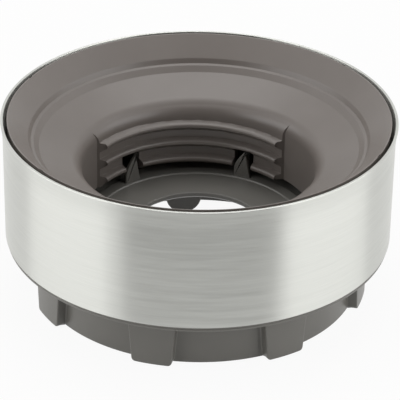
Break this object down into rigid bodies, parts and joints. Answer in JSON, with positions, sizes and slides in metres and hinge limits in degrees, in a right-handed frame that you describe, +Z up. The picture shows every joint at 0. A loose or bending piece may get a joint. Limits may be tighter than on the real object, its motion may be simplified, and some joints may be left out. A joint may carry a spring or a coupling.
{
  "type": "threaded base ring",
  "caption": "Round base ring for a blender jar: steel sleeve, dished collar with an interrupted inside thread, and a lugged base with a centre hole.",
  "frame": {"origin": "on the ring's axis, at the level of the lug feet and the lower edge of the skirt", "axes": "+Z up along the ring's axis towards the jar; +Y towards the drop tab, midway between two lugs"},
  "size_m": [0.1212, 0.1212, 0.057],
  "materials": {
    "brushed_sleeve": "stainless sheet, brushed round the ring",
    "collar_plastic": "warm grey moulding, satin",
    "base_plastic": "darker warm grey moulding, satin"
  },
  "bodies": {
    "root": {"sleeve": "brushed_sleeve", "collar": "collar_plastic", "base_ring": "base_plastic"}
  },
  "joints": []
}
